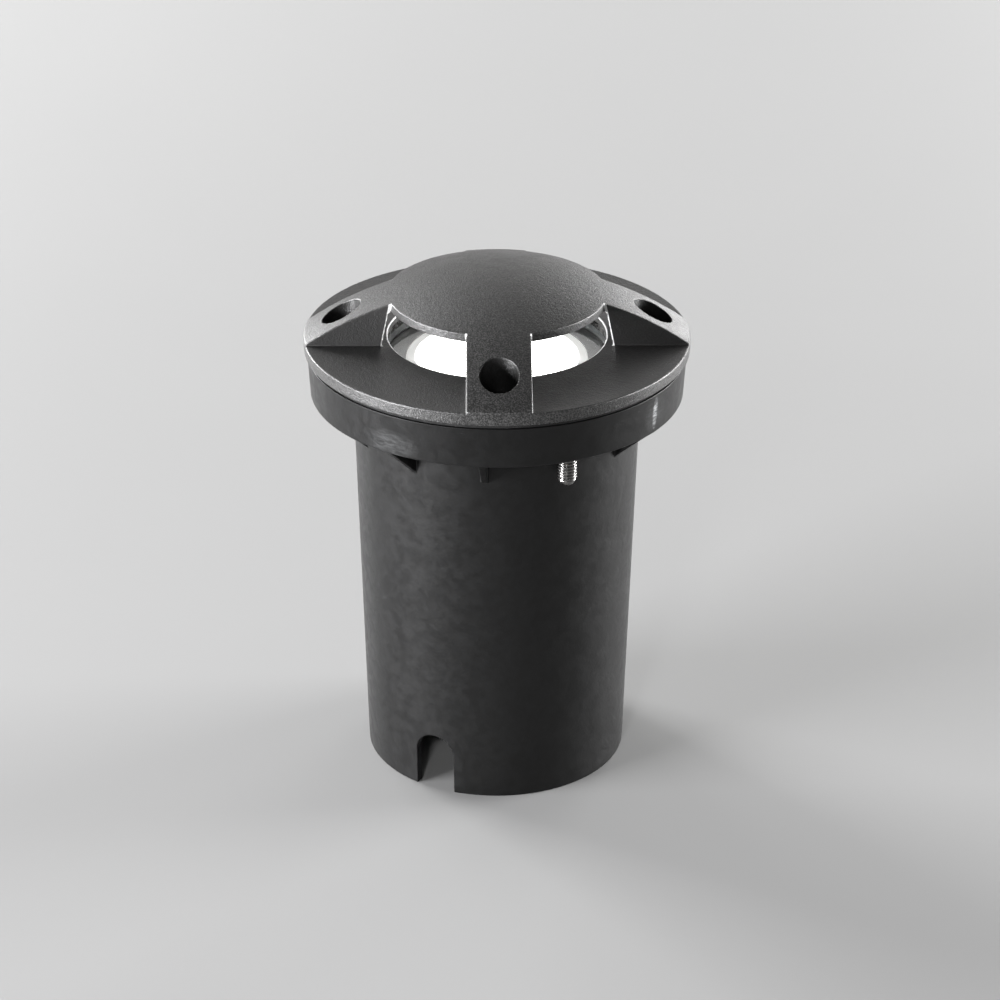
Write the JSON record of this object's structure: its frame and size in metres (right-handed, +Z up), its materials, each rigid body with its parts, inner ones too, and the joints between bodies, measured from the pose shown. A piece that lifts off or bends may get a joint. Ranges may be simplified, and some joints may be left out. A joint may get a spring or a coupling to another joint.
{
  "type": "in ground well light",
  "caption": "Round in-ground well light: dark domed guard on sloping legs with side windows, glazed LED fixture below, hung in a black tapered ground sleeve.",
  "frame": {"origin": "centre of the ground end of the sleeve, on the surface that the light stands on", "axes": "+Z up along the axis of the sleeve and the dome, front of the picture towards -Y, a leg of the guard on each of -Y, +X, +Y and -X"},
  "size_m": [0.12, 0.12, 0.1624],
  "materials": {
    "black_plastic": "semi-matte moulded, faintly mottled",
    "powder_coat": "dark graphite, fine textured powder coat",
    "stainless": "plain stainless",
    "brass": "machined",
    "black_rubber": "matte",
    "silicone": "satin translucent grey",
    "cast_aluminium": "as cast, grey passivated",
    "machined_aluminium": "machined",
    "reflector_aluminium": "polished",
    "clear_glass": "clear, polished",
    "opal_plastic": "opal white, lit from behind",
    "board_white": "white solder mask on a metal core",
    "led_phosphor": "yellow phosphor",
    "lead_sheath": "satin",
    "driver_plastic": "matte",
    "terminal_plastic": "satin",
    "gland_nylon": "satin",
    "washer_nylon": "satin"
  },
  "bodies": {
    "sleeve": {"sleeve": "black_plastic", "sleeve_inserts": "brass", "rim_gasket": "black_rubber"},
    "fixture": {"housing": "cast_aluminium", "fixing_screws": "stainless", "glass_gasket": "silicone", "glass_lens": "clear_glass", "clamp_ring": "stainless", "clamp_screws": "stainless", "reflector": "reflector_aluminium", "diffuser": "opal_plastic", "led_board": "board_white", "led_chips": "led_phosphor", "board_screws": "stainless", "heat_spreader": "machined_aluminium", "spreader_screws": "stainless", "led_leads": "lead_sheath", "driver_case": "driver_plastic", "driver_screws": "stainless", "terminal_block": "terminal_plastic", "terminal_screws": "stainless", "gland_body": "gland_nylon", "gland_washer": "black_rubber", "gland_locknut": "gland_nylon", "gland_seal": "black_rubber", "gland_nut": "gland_nylon"},
    "cover": {"guard_cover": "powder_coat", "cover_screws": "stainless", "screw_washers": "washer_nylon"}
  },
  "joints": [
    {"name": "fixture_lift", "type": "slide", "parent": "sleeve", "child": "fixture", "axis": [0, 0, 1], "range_m": [0, 0.105]},
    {"name": "cover_lift", "type": "slide", "parent": "fixture", "child": "cover", "axis": [0, 0, 1], "range_m": [0, 0.03]}
  ]
}
